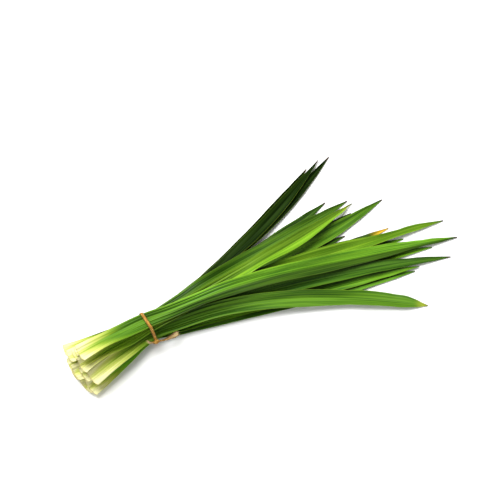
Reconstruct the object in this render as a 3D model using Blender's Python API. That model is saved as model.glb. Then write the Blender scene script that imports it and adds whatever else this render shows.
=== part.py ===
"""A bunch of fresh pandan leaves, lying down and tied near its cut ends with a strip of dry leaf.

Every leaf is a long strap folded along its midrib. It is thick and pale where it was cut, and its
other end narrows to a point. The leaves are laid one on another from the lowest up. Each bends and
rolls over what is below it as a springy strap does, and never cuts into it. The strip goes once
round the stack and ends in a knot with two loose tails.

The bunch lies along X with its tips at +X, on a surface at z = 0. While it is laid out, the strip
is at x = 0. At the end the whole bunch hangs from an empty that brings the middle of its outer box
over the origin. The tables and sizes below are in millimetres, and the meshes in metres.
"""

from collections import namedtuple
from math import cos, pi, radians

import bmesh
import bpy
import numpy as np
from mathutils import Matrix, Vector

MM = 0.001

# One leaf, seen from above: butt is the middle of its cut end, tie_y is where it passes under the
# strip, tip is its point, and bow is how far its middle stands off the straight run to the tip.
# fold is how steeply each half rises from the midrib, in degrees.
Leaf = namedtuple("Leaf", "butt tie_y bow tip width fold tone")

LEAVES = [
    Leaf(butt=(-88, -33), tie_y=-1, bow=1, tip=(330, -52), width=22, fold=8, tone="dark"),
    Leaf(butt=(-94, -34), tie_y=0, bow=4, tip=(337, -49), width=21, fold=8, tone="mid"),
    Leaf(butt=(-100, -14), tie_y=2, bow=0, tip=(327, 15), width=20, fold=8, tone="dark"),
    Leaf(butt=(-98, -8), tie_y=5, bow=0, tip=(273, 27), width=20, fold=8, tone="dark"),
    Leaf(butt=(-98, -2), tie_y=8, bow=-4, tip=(271, 80), width=20, fold=9, tone="dark"),
    Leaf(butt=(-98, 8), tie_y=11, bow=-14, tip=(270, 134), width=17, fold=10, tone="dark"),
    Leaf(butt=(-100, 19), tie_y=12, bow=-14, tip=(304, 139), width=17, fold=10, tone="dark"),
    Leaf(butt=(-96, 1), tie_y=11, bow=-16, tip=(289, 139), width=16, fold=10, tone="dark"),
    Leaf(butt=(-102, -8), tie_y=1, bow=0, tip=(294, 53), width=20, fold=8, tone="mid"),
    Leaf(butt=(-100, -19), tie_y=-2, bow=8, tip=(337, -6), width=21, fold=8, tone="mid"),
    Leaf(butt=(-90, -39), tie_y=-6, bow=12, tip=(364, -31), width=21, fold=10, tone="mid"),
    Leaf(butt=(-92, -26), tie_y=-3, bow=13, tip=(379, -52), width=20, fold=13, tone="dark"),
    Leaf(butt=(-85, -34), tie_y=-6, bow=27, tip=(323, -100), width=22, fold=18, tone="mid"),
    Leaf(butt=(-99, 1), tie_y=6, bow=-8, tip=(338, 55), width=23, fold=12, tone="mid"),
    Leaf(butt=(-93, -3), tie_y=9, bow=0, tip=(297, 71), width=20, fold=10, tone="mid"),
    Leaf(butt=(-91, -18), tie_y=-1, bow=11, tip=(394, -3), width=22, fold=17, tone="bright"),
    Leaf(butt=(-90, -3), tie_y=2, bow=-12, tip=(301, 65), width=20, fold=16, tone="bright"),
    Leaf(butt=(-88, -10), tie_y=3, bow=11, tip=(399, -31), width=23, fold=20, tone="mid"),
]

# Across a leaf: its margins, its midrib and the middle of each half.
ACROSS = np.array([1.0, 0.5, 0.0, -0.5, -1.0])

# Along a leaf, in shares of its length from the cut end: its fold and its width as shares of the
# leaf's own, and how thick its midrib, its halves and its margins are.
ALONG = [0.00, 0.12, 0.22, 0.40, 0.65, 0.82, 0.93, 1.00]
FOLD = [1.1, 0.9, 0.7, 1.0, 1.0, 1.05, 1.15, 1.25]
WIDTH = [1.02, 0.90, 0.76, 0.87, 1.00, 0.84, 0.44, 0.05]
RIB_THICK = [2.6, 1.7, 1.1, 1.1, 1.0, 0.9, 0.8, 0.7]
HALF_THICK = [1.9, 1.2, 0.8, 0.8, 0.8, 0.75, 0.7, 0.7]
MARGIN_THICK = [1.0, 0.8, 0.7, 0.7, 0.7, 0.7, 0.7, 0.7]

# From the cut ends to the strip a leaf runs straight, and so does its start beyond it. This is how
# far from the strip it turns from one course to the other.
TURN_REACH = 36.0

# How a leaf lies: it bends as a thin beam does under its own weight. The strip presses it down, and
# so does the pull of the strip on its thick end, which is the stiffer part.
SAG_LOAD = 2.6e-7
STRIP_PRESS = 4.0e-4
STRIP_PRESS_REACH = 9.0
BUTT_PRESS = 8.0e-5
BUTT_STIFFNESS = 2.0
BUTT_SHARE = 0.3
CONTACT_STIFFNESS = 0.5

# How far a leaf may roll about its midrib to lie lower, in degrees, and what keeps it upright.
MOST_ROLL = 36
ROLL_STEP = 4
ROLL_SMOOTHING = 28.0
UPRIGHT_PULL = 0.4

# Near the strip the leaves are pressed, so each half drapes over what is below: how much it does
# along X, and the share of its own fold that it keeps.
DRAPE_AT = [-100, -30, -10, 10, 80, 220]
DRAPE_SHARE = [0.88, 0.95, 1.0, 1.0, 0.9, 0.2]
LEAST_FOLD = [0.55, 0.45, 0.4, 0.4, 0.6, 0.9]
DRAPE_SMOOTHING = 18.0
MOST_DRAPE = radians(48)

# The least height between one piece and the next.
GAP = 0.38

# Fine steps to lay a leaf out, and the sections that its mesh keeps. They are closer together near
# the strip, by this much more within this reach of it.
STEPS = 241
SECTIONS = 40
EXTRA_AT_STRIP = 2.0
STRIP_REACH = 30.0
FINE_ACROSS = 25

# The height map of what has been laid so far.
CELL = 0.5
MAP_X = (-130.0, 410.0)
MAP_Y = (-130.0, 160.0)

# The strip: a flat band once round the bunch, pulled tight. Its near side stands forward by its
# slant and its far side back. Between the two places of STRIP_FLAT it lies flat on the surface.
STRIP_WIDTH = 4.2
STRIP_THICK = 1.0
STRIP_POINTS = 56
STRIP_SLANT = 3.5
STRIP_GAP = 0.5
STRIP_OUTER_WIDTH = 0.84
STRIP_FLAT = (-7.0, 7.0)
CORNER_SPREAD = radians(9)

# Its knot, and each tail's course from there: how far along the bunch, out from it and up, and how
# wide the tail is.
KNOT_ANGLE = radians(174)
KNOT_SIZE = (3.6, 2.4, 3.4)
TAIL_THICK = 0.9
LONG_TAIL = [
    (0, 0, 0, 2.6),
    (6, 1.0, -0.5, 3.2),
    (13, 1.4, -1.0, 4.0),
    (21, 1.0, -0.5, 4.4),
    (27, 0.2, 0.5, 3.8),
]
SHORT_TAIL = [
    (0, 0, 0, 2.6),
    (-3.5, 1.2, 3.0, 3.0),
    (-8, 1.4, 7.0, 3.4),
    (-11, 0.6, 10.5, 2.8),
]

TONES = {
    "bright": (0.28, 0.52, 0.06),
    "mid": (0.15, 0.36, 0.04),
    "dark": (0.05, 0.18, 0.03),
}
LEAF_ROUGHNESS = 0.45
DRY_STRIP_COLOR = (0.56, 0.32, 0.12)
DRY_STRIP_ROUGHNESS = 0.6


def clear_scene():
    for thing in list(bpy.data.objects):
        bpy.data.objects.remove(thing, do_unlink=True)


def make_material(name, color, roughness):
    material = bpy.data.materials.new(name)
    material.use_nodes = True
    shader = material.node_tree.nodes["Principled BSDF"]
    shader.inputs["Base Color"].default_value = (*color, 1)
    shader.inputs["Roughness"].default_value = roughness
    shader.inputs["Metallic"].default_value = 0
    material.diffuse_color = (*color, 1)
    return material


def blurred(values, reach, step):
    """The values smoothed along their row by a bell curve of this reach."""
    count = int(3 * reach / step)
    bell = np.exp(-0.5 * (np.arange(-count, count + 1) * step / reach) ** 2)
    return np.convolve(np.pad(values, count, mode="edge"), bell / bell.sum(), mode="valid")


def resampled(rows, count):
    """This many rows in place of the given ones, in straight runs between them."""
    index = np.linspace(0, len(rows) - 1, count)
    low = np.minimum(index.astype(int), len(rows) - 2)
    part = (index - low).reshape([-1] + [1] * (rows.ndim - 1))
    return rows[low] * (1 - part) + rows[low + 1] * part


def spread_across(sections):
    """The sections with more points across."""
    return np.swapaxes(resampled(np.swapaxes(sections, 0, 1), FINE_ACROSS), 0, 1)


def plan_line(leaf):
    """Evenly spaced points along the leaf from above, its left-hand directions and their spacing."""
    x = np.linspace(leaf.butt[0], leaf.tip[0], 4 * STEPS)
    run = x / leaf.tip[0]
    butt_side = (leaf.butt[1] - leaf.tie_y) / leaf.butt[0] * x
    tip_side = (leaf.tip[1] - leaf.tie_y) * run + 4 * leaf.bow * run * (1 - run)
    turn = np.clip((x + TURN_REACH) / (2 * TURN_REACH), 0, 1)
    turn = turn * turn * (3 - 2 * turn)
    y = leaf.tie_y + (1 - turn) * butt_side + turn * tip_side
    reached = np.concatenate([[0], np.cumsum(np.hypot(np.diff(x), np.diff(y)))])
    even = np.linspace(0, reached[-1], STEPS)
    place = np.stack([np.interp(even, reached, x), np.interp(even, reached, y)], axis=1)
    ahead = np.gradient(place, axis=0)
    ahead /= np.linalg.norm(ahead, axis=1, keepdims=True)
    left = np.stack([-ahead[:, 1], ahead[:, 0]], axis=1)
    return place, left, even[1]


def strap_sizes(leaf):
    """For every step: half the strap's width, its fold and its thickness at each place across."""
    share = np.linspace(0, 1, STEPS)
    half = 0.5 * leaf.width * np.interp(share, ALONG, WIDTH)
    fold = radians(leaf.fold) * np.interp(share, ALONG, FOLD)
    thick = [np.interp(share, ALONG, row) for row in (MARGIN_THICK, HALF_THICK, RIB_THICK)]
    return half, fold, np.stack(thick + thick[1::-1], axis=1)


def section_points(half, thick, left_rise, right_rise):
    """How far out, the top heights and the underside heights of sections whose halves rise so."""
    angle = np.where(ACROSS > 0, left_rise[:, None], right_rise[:, None])
    angle = np.where(ACROSS == 0, (left_rise + right_rise)[:, None] / 2, angle)
    out = half[:, None] * np.cos(angle) * ACROSS
    top = half[:, None] * np.sin(angle) * np.abs(ACROSS)
    return out, top, top - thick / np.cos(angle)


def new_map():
    """Heights that the next leaf must clear: the bare surface, and the strip that passes below."""
    x = np.arange(MAP_X[0], MAP_X[1], CELL)
    heights = np.full((len(x), int((MAP_Y[1] - MAP_Y[0]) / CELL)), -GAP)
    heights[np.abs(x) < STRIP_WIDTH / 2 + STRIP_SLANT + 1] = STRIP_THICK
    return heights


def cells(x, y):
    return ((x - MAP_X[0]) / CELL).astype(int), ((y - MAP_Y[0]) / CELL).astype(int)


def below(heights, place, left, out):
    """Heights of what lies below the leaf, at these distances to the left of its midrib."""
    return heights[cells(place[:, :1] + left[:, :1] * out, place[:, 1:] + left[:, 1:] * out)]


def height_needed(heights, place, left, section):
    """The lowest height of the midrib at each step that keeps the leaf's underside clear."""
    out, _, under = section
    out, under = spread_across(out), spread_across(under)
    return (below(heights, place, left, out) + GAP - under).max(axis=1)


def easiest_roll(heights, place, left, half, fold, thick):
    """At each step, the roll that lets the section's weight lie lowest on what is below."""
    rolls = np.radians(np.arange(-MOST_ROLL, MOST_ROLL + 1, ROLL_STEP))
    cost = []
    for roll in rolls:
        section = section_points(half, thick, fold + roll, fold - roll)
        weight_rise = half * np.sin(fold) * cos(roll) / 2
        upright = UPRIGHT_PULL * roll * roll
        cost.append(height_needed(heights, place, left, section) + weight_rise + upright)
    return rolls[np.argmin(cost, axis=0)]


def draped_rise(heights, place, left, half, thick, side):
    """At each step, the angle at which one half, folded down from the midrib, meets what is below."""
    distance = half[:, None] * np.linspace(0.25, 1, FINE_ACROSS)
    midrib = heights[cells(place[:, 0], place[:, 1])] + thick[:, 2]
    rise = below(heights, place, left, side * distance) + thick[:, :1] - midrib[:, None]
    return np.clip(np.arctan2(rise, distance).max(axis=1), -MOST_DRAPE, MOST_DRAPE)


def settled_section(heights, place, left, step, leaf):
    """The leaf's section at every step: its own fold, rolled as it lies, and draped at the strip."""
    half, fold, thick = strap_sizes(leaf)
    roll = blurred(easiest_roll(heights, place, left, half, fold, thick), ROLL_SMOOTHING, step)
    drape = [draped_rise(heights, place, left, half, thick, side) for side in (1, -1)]
    drape = [blurred(angle, DRAPE_SMOOTHING, step) for angle in drape]
    draped = np.interp(place[:, 0], DRAPE_AT, DRAPE_SHARE)
    least_fold = radians(leaf.fold) * np.interp(place[:, 0], DRAPE_AT, LEAST_FOLD)
    fold = (1 - draped) * fold + draped * np.maximum((drape[0] + drape[1]) / 2, least_fold)
    roll = (1 - draped) * roll + draped * (drape[0] - drape[1]) / 2
    return section_points(half, thick, fold + roll, fold - roll)


def lying_heights(needed, place, step):
    """Heights of a springy strap under its own weight that stays on or above the needed heights."""
    distance = np.linspace(0, 1, STEPS)
    stiffness = 1 + (BUTT_STIFFNESS - 1) * np.clip(1 - distance / BUTT_SHARE, 0, 1)
    curvature = (np.eye(STEPS) - 2 * np.eye(STEPS, k=1) + np.eye(STEPS, k=2))[:-2] / step**2
    bending = curvature.T @ (stiffness[1:-1, None] * curvature) * step
    x = place[:, 0]
    load = SAG_LOAD * step + STRIP_PRESS * np.exp(-((x / STRIP_PRESS_REACH) ** 2))
    load += BUTT_PRESS * (x < 0)
    touching = np.ones(STEPS, bool)
    for _ in range(80):
        push = CONTACT_STIFFNESS * touching
        height = np.linalg.solve(bending + np.diag(push + 1e-10), push * needed - load)
        if ((height < needed) == touching).all():
            break
        touching = height < needed
    return height + max(0, (needed - height).max())


def kept_steps(x):
    """The steps whose sections the mesh keeps."""
    density = 1 + EXTRA_AT_STRIP * np.exp(-((x / STRIP_REACH) ** 2))
    reached = np.cumsum(density)
    kept = np.interp(np.linspace(reached[0], reached[-1], SECTIONS), reached, np.arange(STEPS))
    return np.round(kept).astype(int)


def lay_leaf(heights, leaf):
    """Top and bottom points of the leaf's kept sections, lying on what is below it."""
    place, left, step = plan_line(leaf)
    section = settled_section(heights, place, left, step, leaf)
    height = lying_heights(height_needed(heights, place, left, section), place, step)
    out, top, under = section
    x = place[:, :1] + left[:, :1] * out
    y = place[:, 1:] + left[:, 1:] * out
    kept = kept_steps(place[:, 0])
    return [np.stack([x, y, height[:, None] + face], axis=2)[kept] for face in (top, under)]


def raise_map(heights, top):
    """Puts the leaf's upper side into the height map, one cell wider all round."""
    fine = resampled(spread_across(top), 6 * STEPS)
    i, j = cells(fine[..., 0], fine[..., 1])
    for di, dj in ((0, 0), (1, 0), (-1, 0), (0, 1), (0, -1)):
        np.maximum.at(heights, (i + di, j + dj), fine[..., 2])


def add_mesh(name, corners, triangles, material):
    mesh = bpy.data.meshes.new(name)
    shape = bmesh.new()
    verts = [shape.verts.new([value * MM for value in corner]) for corner in corners]
    for triangle in triangles:
        shape.faces.new([verts[k] for k in triangle])
    bmesh.ops.recalc_face_normals(shape, faces=shape.faces)
    shape.to_mesh(mesh)
    shape.free()
    mesh.materials.append(material)
    thing = bpy.data.objects.new(name, mesh)
    bpy.context.collection.objects.link(thing)
    return thing


def leaf_triangles(count):
    """Faces between the sections, each half split alike above and below, and the two ends."""
    top = len(ACROSS)
    ring = 2 * top
    triangles = []
    for k in range(count - 1):
        near, far = k * ring, (k + 1) * ring
        for side in range(ring):
            after = (side + 1) % ring
            a, b, c, d = near + side, near + after, far + after, far + side
            if side < top // 2 or top <= side < top + top // 2:
                triangles += [(a, b, c), (a, c, d)]
            else:
                triangles += [(a, b, d), (b, c, d)]
    for start in (0, (count - 1) * ring):
        for side in range(top - 1):
            a, b = start + side, start + side + 1
            c, d = start + ring - 2 - side, start + ring - 1 - side
            triangles += [(a, b, c), (a, c, d)]
    return triangles


def make_leaf(name, top, bottom, material):
    rings = np.concatenate([top, bottom[:, ::-1]], axis=1)
    return add_mesh(name, rings.reshape(-1, 3), leaf_triangles(SECTIONS), material)


def lay_bunch():
    """All leaves, lowest first. It gives the objects and the points that the strip goes round."""
    heights = new_map()
    leaves = []
    waist = []
    for number, leaf in enumerate(LEAVES, start=1):
        name = f"leaf_{number:02d}"
        top, bottom = lay_leaf(heights, leaf)
        raise_map(heights, top)
        material = make_material(name, TONES[leaf.tone], LEAF_ROUGHNESS)
        leaves.append(make_leaf(name, top, bottom, material))
        for face in (top, bottom):
            fine = resampled(face, 12 * SECTIONS).reshape(-1, 3)
            waist.append(fine[np.abs(fine[:, 0]) < STRIP_WIDTH / 2 + STRIP_SLANT + 1, 1:])
    return leaves, np.concatenate(waist)


def strip_outline(waist, gap):
    """A tight outline round the waist's points, seen along X, that keeps this gap to them."""
    fine = 8 * STRIP_POINTS
    turns = np.arange(fine) * 2 * pi / fine
    facing = np.stack([np.cos(turns), np.sin(turns)], axis=1)
    reach = (waist @ facing.T).max(axis=0)
    spread = int(round(CORNER_SPREAD / (2 * pi / fine)))
    bell = np.hanning(2 * spread + 1)
    padded = np.concatenate([reach[-spread:], reach, reach[:spread]])
    reach = np.convolve(padded, bell / bell.sum(), mode="valid") + gap
    slope = (np.roll(reach, -1) - np.roll(reach, 1)) / (4 * pi / fine)
    across = np.stack([-np.sin(turns), np.cos(turns)], axis=1)
    outline = reach[:, None] * facing + slope[:, None] * across
    return outline[:: fine // STRIP_POINTS]


def strip_rings(waist):
    """The band's four corners at each of its points, its flat underside at z = 0."""
    resting = [(y, STRIP_THICK + STRIP_GAP) for y in STRIP_FLAT]
    waist = np.concatenate([waist, resting])
    inner = strip_outline(waist, STRIP_GAP)
    outer = strip_outline(waist, STRIP_GAP + STRIP_THICK)
    inner[:, 1] = np.maximum(inner[:, 1], STRIP_THICK)
    outer[:, 1] = np.maximum(outer[:, 1], 0)
    side = outer[:, 0]
    across = (side - side.min()) / (side.max() - side.min())
    wide = STRIP_WIDTH / 2
    narrow = wide * STRIP_OUTER_WIDTH
    rings = []
    for k in range(STRIP_POINTS):
        lean = STRIP_SLANT * (1 - 2 * across[k])
        (inner_y, inner_z), (outer_y, outer_z) = inner[k], outer[k]
        back = [(lean - wide, inner_y, inner_z), (lean - narrow, outer_y, outer_z)]
        front = [(lean + narrow, outer_y, outer_z), (lean + wide, inner_y, inner_z)]
        rings.append(back + front)
    return rings


def ring_triangles(count, size, closed):
    triangles = []
    for k in range(count if closed else count - 1):
        near, far = k * size, (k + 1) % count * size
        for side in range(size):
            after = (side + 1) % size
            a, b, c, d = near + side, near + after, far + after, far + side
            triangles += [(a, b, c), (a, c, d)]
    if not closed:
        for start in (0, (count - 1) * size):
            triangles += [(start, start + k, start + k + 1) for k in range(1, size - 1)]
    return triangles


def make_tail(name, course, knot, material):
    """A loose end of the strip: a flat ribbon from the knot that stands on edge as it leaves."""
    rings = []
    for along, out, up, width in course:
        x, y, z = knot[0] + along, knot[1] - out, knot[2] + up
        half, thin = 0.5 * width, 0.5 * TAIL_THICK
        rings += [(x, y - thin, z - half), (x, y + thin, z - half)]
        rings += [(x, y + thin, z + half), (x, y - thin, z + half)]
    return add_mesh(name, rings, ring_triangles(len(course), 4, False), material)


def join_by_union(body, extras):
    group = bpy.data.collections.new("strip_extras")
    bpy.context.scene.collection.children.link(group)
    for extra in extras:
        group.objects.link(extra)
    union = body.modifiers.new("union", "BOOLEAN")
    union.operation = "UNION"
    union.operand_type = "COLLECTION"
    union.collection = group
    bpy.context.view_layer.objects.active = body
    bpy.ops.object.modifier_apply(modifier=union.name)
    for extra in extras:
        bpy.data.objects.remove(extra, do_unlink=True)
    bpy.data.collections.remove(group)


def make_strip(waist):
    """The band, its knot at the side of the bunch, and the two tails, as one piece."""
    material = make_material("strip", DRY_STRIP_COLOR, DRY_STRIP_ROUGHNESS)
    rings = strip_rings(waist)
    corners = [corner for ring in rings for corner in ring]
    band = add_mesh("strip", corners, ring_triangles(STRIP_POINTS, 4, True), material)
    outside = rings[round(KNOT_ANGLE / (2 * pi) * STRIP_POINTS)][1:3]
    knot = np.mean(outside, axis=0) + np.array([0, -0.35 * KNOT_SIZE[1], 0])
    bpy.ops.mesh.primitive_uv_sphere_add(segments=12, ring_count=8, radius=1)
    lump = bpy.context.active_object
    lump.data.transform(Matrix.LocRotScale(Vector(knot) * MM, None, Vector(KNOT_SIZE) * MM))
    long_tail = make_tail("long_tail", LONG_TAIL, knot, material)
    short_tail = make_tail("short_tail", SHORT_TAIL, knot, material)
    join_by_union(band, [lump, long_tail, short_tail])
    return band


def center_bunch(things):
    """Hangs everything from an empty that puts the middle of the bunch's box over the origin."""
    corners = np.array([vert.co for thing in things for vert in thing.data.vertices])
    middle = (corners.min(axis=0) + corners.max(axis=0)) / 2
    bunch = bpy.data.objects.new("bunch", None)
    bpy.context.collection.objects.link(bunch)
    bunch.location = (-middle[0], -middle[1], 0)
    for thing in things:
        thing.parent = bunch


clear_scene()
leaves, waist = lay_bunch()
center_bunch(leaves + [make_strip(waist)])
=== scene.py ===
import math
import random
from collections import namedtuple

import bmesh
import bpy
import numpy as np
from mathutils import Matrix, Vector
from mathutils.bvhtree import BVHTree


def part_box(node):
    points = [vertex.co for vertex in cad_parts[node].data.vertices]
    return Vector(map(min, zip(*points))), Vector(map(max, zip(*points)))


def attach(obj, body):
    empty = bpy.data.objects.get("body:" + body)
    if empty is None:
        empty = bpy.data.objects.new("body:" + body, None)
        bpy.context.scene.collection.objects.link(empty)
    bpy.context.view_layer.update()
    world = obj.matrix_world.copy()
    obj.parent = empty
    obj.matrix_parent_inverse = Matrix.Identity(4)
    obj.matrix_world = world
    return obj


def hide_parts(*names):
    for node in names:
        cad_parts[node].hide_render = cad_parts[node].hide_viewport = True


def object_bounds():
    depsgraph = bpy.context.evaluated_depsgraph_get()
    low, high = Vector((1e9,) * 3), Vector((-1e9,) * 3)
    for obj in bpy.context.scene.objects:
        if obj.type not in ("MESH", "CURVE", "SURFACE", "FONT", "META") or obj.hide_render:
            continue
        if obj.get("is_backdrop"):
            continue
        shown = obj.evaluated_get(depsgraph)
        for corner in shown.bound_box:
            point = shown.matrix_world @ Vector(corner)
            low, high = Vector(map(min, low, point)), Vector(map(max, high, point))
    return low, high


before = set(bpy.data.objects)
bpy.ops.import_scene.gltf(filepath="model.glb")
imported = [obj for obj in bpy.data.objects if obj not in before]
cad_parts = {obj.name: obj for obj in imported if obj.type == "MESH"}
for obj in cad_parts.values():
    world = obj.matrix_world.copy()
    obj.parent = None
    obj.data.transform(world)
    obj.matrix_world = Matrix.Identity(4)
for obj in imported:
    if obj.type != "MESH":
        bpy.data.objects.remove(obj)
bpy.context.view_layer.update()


# The view. The bunch lies on a table and is seen from above its near side, with its cut ends at the
# lower left. The camera looks down at 62 degrees from 1.8 m away.
MM = 0.001
LOOK_DOWN = math.radians(62)
HEADING = math.radians(66)
CAMERA_AWAY = 1.8
AIM = Vector((6.18, 29.94, 16)) * MM
MM_PER_PIXEL = 1.22
IMAGE_SIZE = 500
SENSOR = 36

ahead = Vector((math.cos(HEADING), math.sin(HEADING), 0))
look = ahead * math.cos(LOOK_DOWN) - Vector((0, 0, 1)) * math.sin(LOOK_DOWN)
turned = look.to_track_quat("-Z", "Y").to_euler()
bpy.ops.object.select_all(action="DESELECT")
bpy.ops.object.camera_add(location=AIM - look * CAMERA_AWAY, rotation=turned)
camera = bpy.context.active_object
camera.name = "camera"
camera.data.sensor_width = SENSOR
camera.data.lens = SENSOR * CAMERA_AWAY / (IMAGE_SIZE * MM_PER_PIXEL * MM)
bpy.context.scene.camera = camera
bpy.context.scene.view_settings.view_transform = "Standard"


# The table. A plain pale board, lit softly from the upper left of the view and a little from its near
# left, with the room's own light all round, so that only soft shadows fall to the lower right.
FLOOR_SIZE = 8
FLOOR_DROP = 0.2 * MM
BOARD_PALE = (0.93, 0.93, 0.925, 1)
BOARD_ROUGHNESS = 0.7
BOARD_SPECULAR = 0.2
LIGHT_AWAY = 2.2
KEY_SIZE = 1.7
KEY_UP = math.radians(64)
KEY_HEADING = math.radians(118)
KEY_POWER = 87
FILL_SIZE = 1.6
FILL_UP = math.radians(34)
FILL_HEADING = math.radians(212)
FILL_POWER = 16
ROOM_WHITE = (1, 1, 1, 1)
ROOM_LIGHT = 0.33
NODES_A_ROW = 8
NODE_WIDE = 220
NODE_TALL = 340


def new_material(name):
    """A new material, with its node tree and its shader, which stands right of the rows of other nodes."""
    material = bpy.data.materials.new(name)
    material.use_nodes = True
    tree = material.node_tree
    shader = tree.nodes["Principled BSDF"]
    shader.location.x = (NODES_A_ROW + 1) * NODE_WIDE
    tree.nodes["Material Output"].location.x = (NODES_A_ROW + 3) * NODE_WIDE
    return material, tree, shader


def soft_light(name, heading, up, size, power):
    """A square soft light that shines on the bunch from a heading and a height above the table."""
    toward = Vector((math.cos(heading) * math.cos(up), math.sin(heading) * math.cos(up), math.sin(up)))
    bpy.ops.object.light_add(type="AREA", location=AIM + toward * LIGHT_AWAY)
    light = bpy.context.active_object
    light.name = name
    light.rotation_euler = (-toward).to_track_quat("-Z", "Y").to_euler()
    light.data.size = size
    light.data.energy = power


bpy.ops.object.select_all(action="DESELECT")
bpy.ops.mesh.primitive_plane_add(size=FLOOR_SIZE, location=(0, 0, -FLOOR_DROP))
bpy.ops.object.transform_apply()
floor = bpy.context.active_object
floor.name = "table"
pale_board, _, board_shader = new_material("pale_board")
board_shader.inputs["Base Color"].default_value = BOARD_PALE
board_shader.inputs["Roughness"].default_value = BOARD_ROUGHNESS
board_shader.inputs["Specular IOR Level"].default_value = BOARD_SPECULAR
floor.data.materials.append(pale_board)
floor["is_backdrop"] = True

soft_light("soft_key", KEY_HEADING, KEY_UP, KEY_SIZE, KEY_POWER)
soft_light("soft_fill", FILL_HEADING, FILL_UP, FILL_SIZE, FILL_POWER)

room = bpy.data.worlds.new("room")
room.use_nodes = True
room.node_tree.nodes["Background"].inputs["Color"].default_value = ROOM_WHITE
room.node_tree.nodes["Background"].inputs["Strength"].default_value = ROOM_LIGHT
bpy.context.scene.world = room


# The leaves. Each is one long fresh blade, folded into a shallow V along its midrib, with a thick pale
# foot where it was cut from the stem, and a long thin point that dries first. They lie over one another,
# and only the tie holds them.

# what sets each leaf apart, with its lengths in mm
Leaf = namedtuple(
    "Leaf",
    [
        "slot",  # the finish that the record gives it
        # shade: partly each leaf's own tone, partly painted light and shade, as the table below notes
        "shade",  # how light its green is
        "pale_reach",  # how far the pale foot reaches from the cut end
        "dry_tip",  # how much of the point has dried brown
        "yellow_tip",  # how much of the point has turned yellow
        "lift",  # how much further its margins stand up than those of the CAD leaf
        "tuck",  # how far its left margin is drawn in a little before the point
        "nick",  # how much of its right margin is torn off at the point
        "blunt",  # 1 where the point is blunt
        # painted light: the left half is painted lighter, or darker below 0, where the halves face the light
        # differently
        "left_bright",  # how much lighter its left half is than its middle, darker where it is below 0
    ],
    defaults=(0, 0, 0, 0),
)
# leaves 06 to 08 are painted dark, a painted shadow of a second bunch that is not built; leaves 01, 02, 10
# and 11 are painted lighter where they lie in shade
LEAVES = {
    "leaf_01": Leaf("leaf_dark", 2.4, 130, 1, 0, 0.6),
    "leaf_02": Leaf("leaf_mid", 1.6, 100, 1, 0, 0.6),
    "leaf_03": Leaf("leaf_dark", 0.9, 50, 1, 24, 0.6),
    "leaf_04": Leaf("leaf_dark", 1.0, 50, 4, 0, 0.6),
    "leaf_05": Leaf("leaf_dark", 1.0, 50, 4, 0, 0.6),
    "leaf_06": Leaf("leaf_dark", 0.24, 50, 5, 0, 0.6),
    "leaf_07": Leaf("leaf_dark", 0.24, 60, 6, 0, 1.2),
    "leaf_08": Leaf("leaf_dark", 0.28, 50, 6, 0, 1.2),
    "leaf_09": Leaf("leaf_mid", 0.9, 60, 5, 0, 0.6),
    "leaf_10": Leaf("leaf_mid", 2.4, 60, 1, 0, 0.6),
    "leaf_11": Leaf("leaf_mid", 3.1, 56, 1, 0, 1.0),
    "leaf_12": Leaf("leaf_dark", 1.5, 60, 5, 0, 1.0),
    "leaf_13": Leaf("leaf_mid", 1.18, 120, 1, 14, 1.4, blunt=1),
    "leaf_14": Leaf("leaf_mid", 1.15, 78, 4, 0, 1.2),
    "leaf_15": Leaf("leaf_mid", 0.85, 55, 4, 0, 1.2),
    "leaf_16": Leaf("leaf_bright", 1.05, 74, 3, 0, 1.2, tuck=4.0),
    "leaf_17": Leaf("leaf_bright", 1.15, 90, 2, 20, 1.6, nick=13, left_bright=-0.28),
    "leaf_18": Leaf("leaf_mid", 1.28, 72, 4, 0, 0.6, left_bright=0.6),
}

# the sections of a CAD leaf: five points on top from the left margin to the right one, with the third
# on the midrib, and five back along the underside
SAME_POINT = 1e-5
SECTION_POINTS = 10
TOP_POINTS = 5
BUTT_FACING = -0.7
ABOUT_ALIKE = 1.01


def ring_order(ring, members):
    """The points of one cross section in order round it."""
    start = ring[0]
    order, previous = [start], None
    while len(order) < len(ring):
        here = order[-1]
        for edge in here.link_edges:
            there = edge.other_vert(here)
            on_skin = any(v not in members for face in edge.link_faces for v in face.verts)
            if there in members and on_skin and there is not previous and there is not start:
                order.append(there)
                previous = here
                break
    return np.array([v.co[:] for v in order])


def turned_ways(points):
    """A section's points started at each of them, in both directions."""
    return [np.roll(points[::turn], -start, 0) for turn in (1, -1) for start in range(SECTION_POINTS)]


def from_left_margin(points, along):
    """The butt's section, started at the top of its left margin and run along the top first."""

    def margin_edges(way):
        ends = way[-1] - way[0], way[TOP_POINTS - 1] - way[TOP_POINTS]
        return np.linalg.norm(ends[0]) + np.linalg.norm(ends[1])

    def top_and_left(way):
        over = (way[:TOP_POINTS] - way[TOP_POINTS:]).mean(0)[2]
        return over + (way[0] - way[TOP_POINTS - 1]) @ left

    left = np.cross((0, 0, 1), along)
    ways = turned_ways(points)
    least = min(margin_edges(way) for way in ways)
    return max((way for way in ways if margin_edges(way) < least * ABOUT_ALIKE), key=top_and_left)


def matched(points, before):
    """The next section's points, started and turned as the section before it is."""
    moved = points.mean(0) - before.mean(0)
    return min(turned_ways(points), key=lambda way: ((way - moved - before) ** 2).sum())


def narrowed(points, before):
    """A section so small that some of its corners have run together: the one before it, brought to size."""
    size = np.linalg.norm(points - points.mean(0), axis=1).max()
    shape = before - before.mean(0)
    return points.mean(0) + shape * size / np.linalg.norm(shape, axis=1).max()


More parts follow.
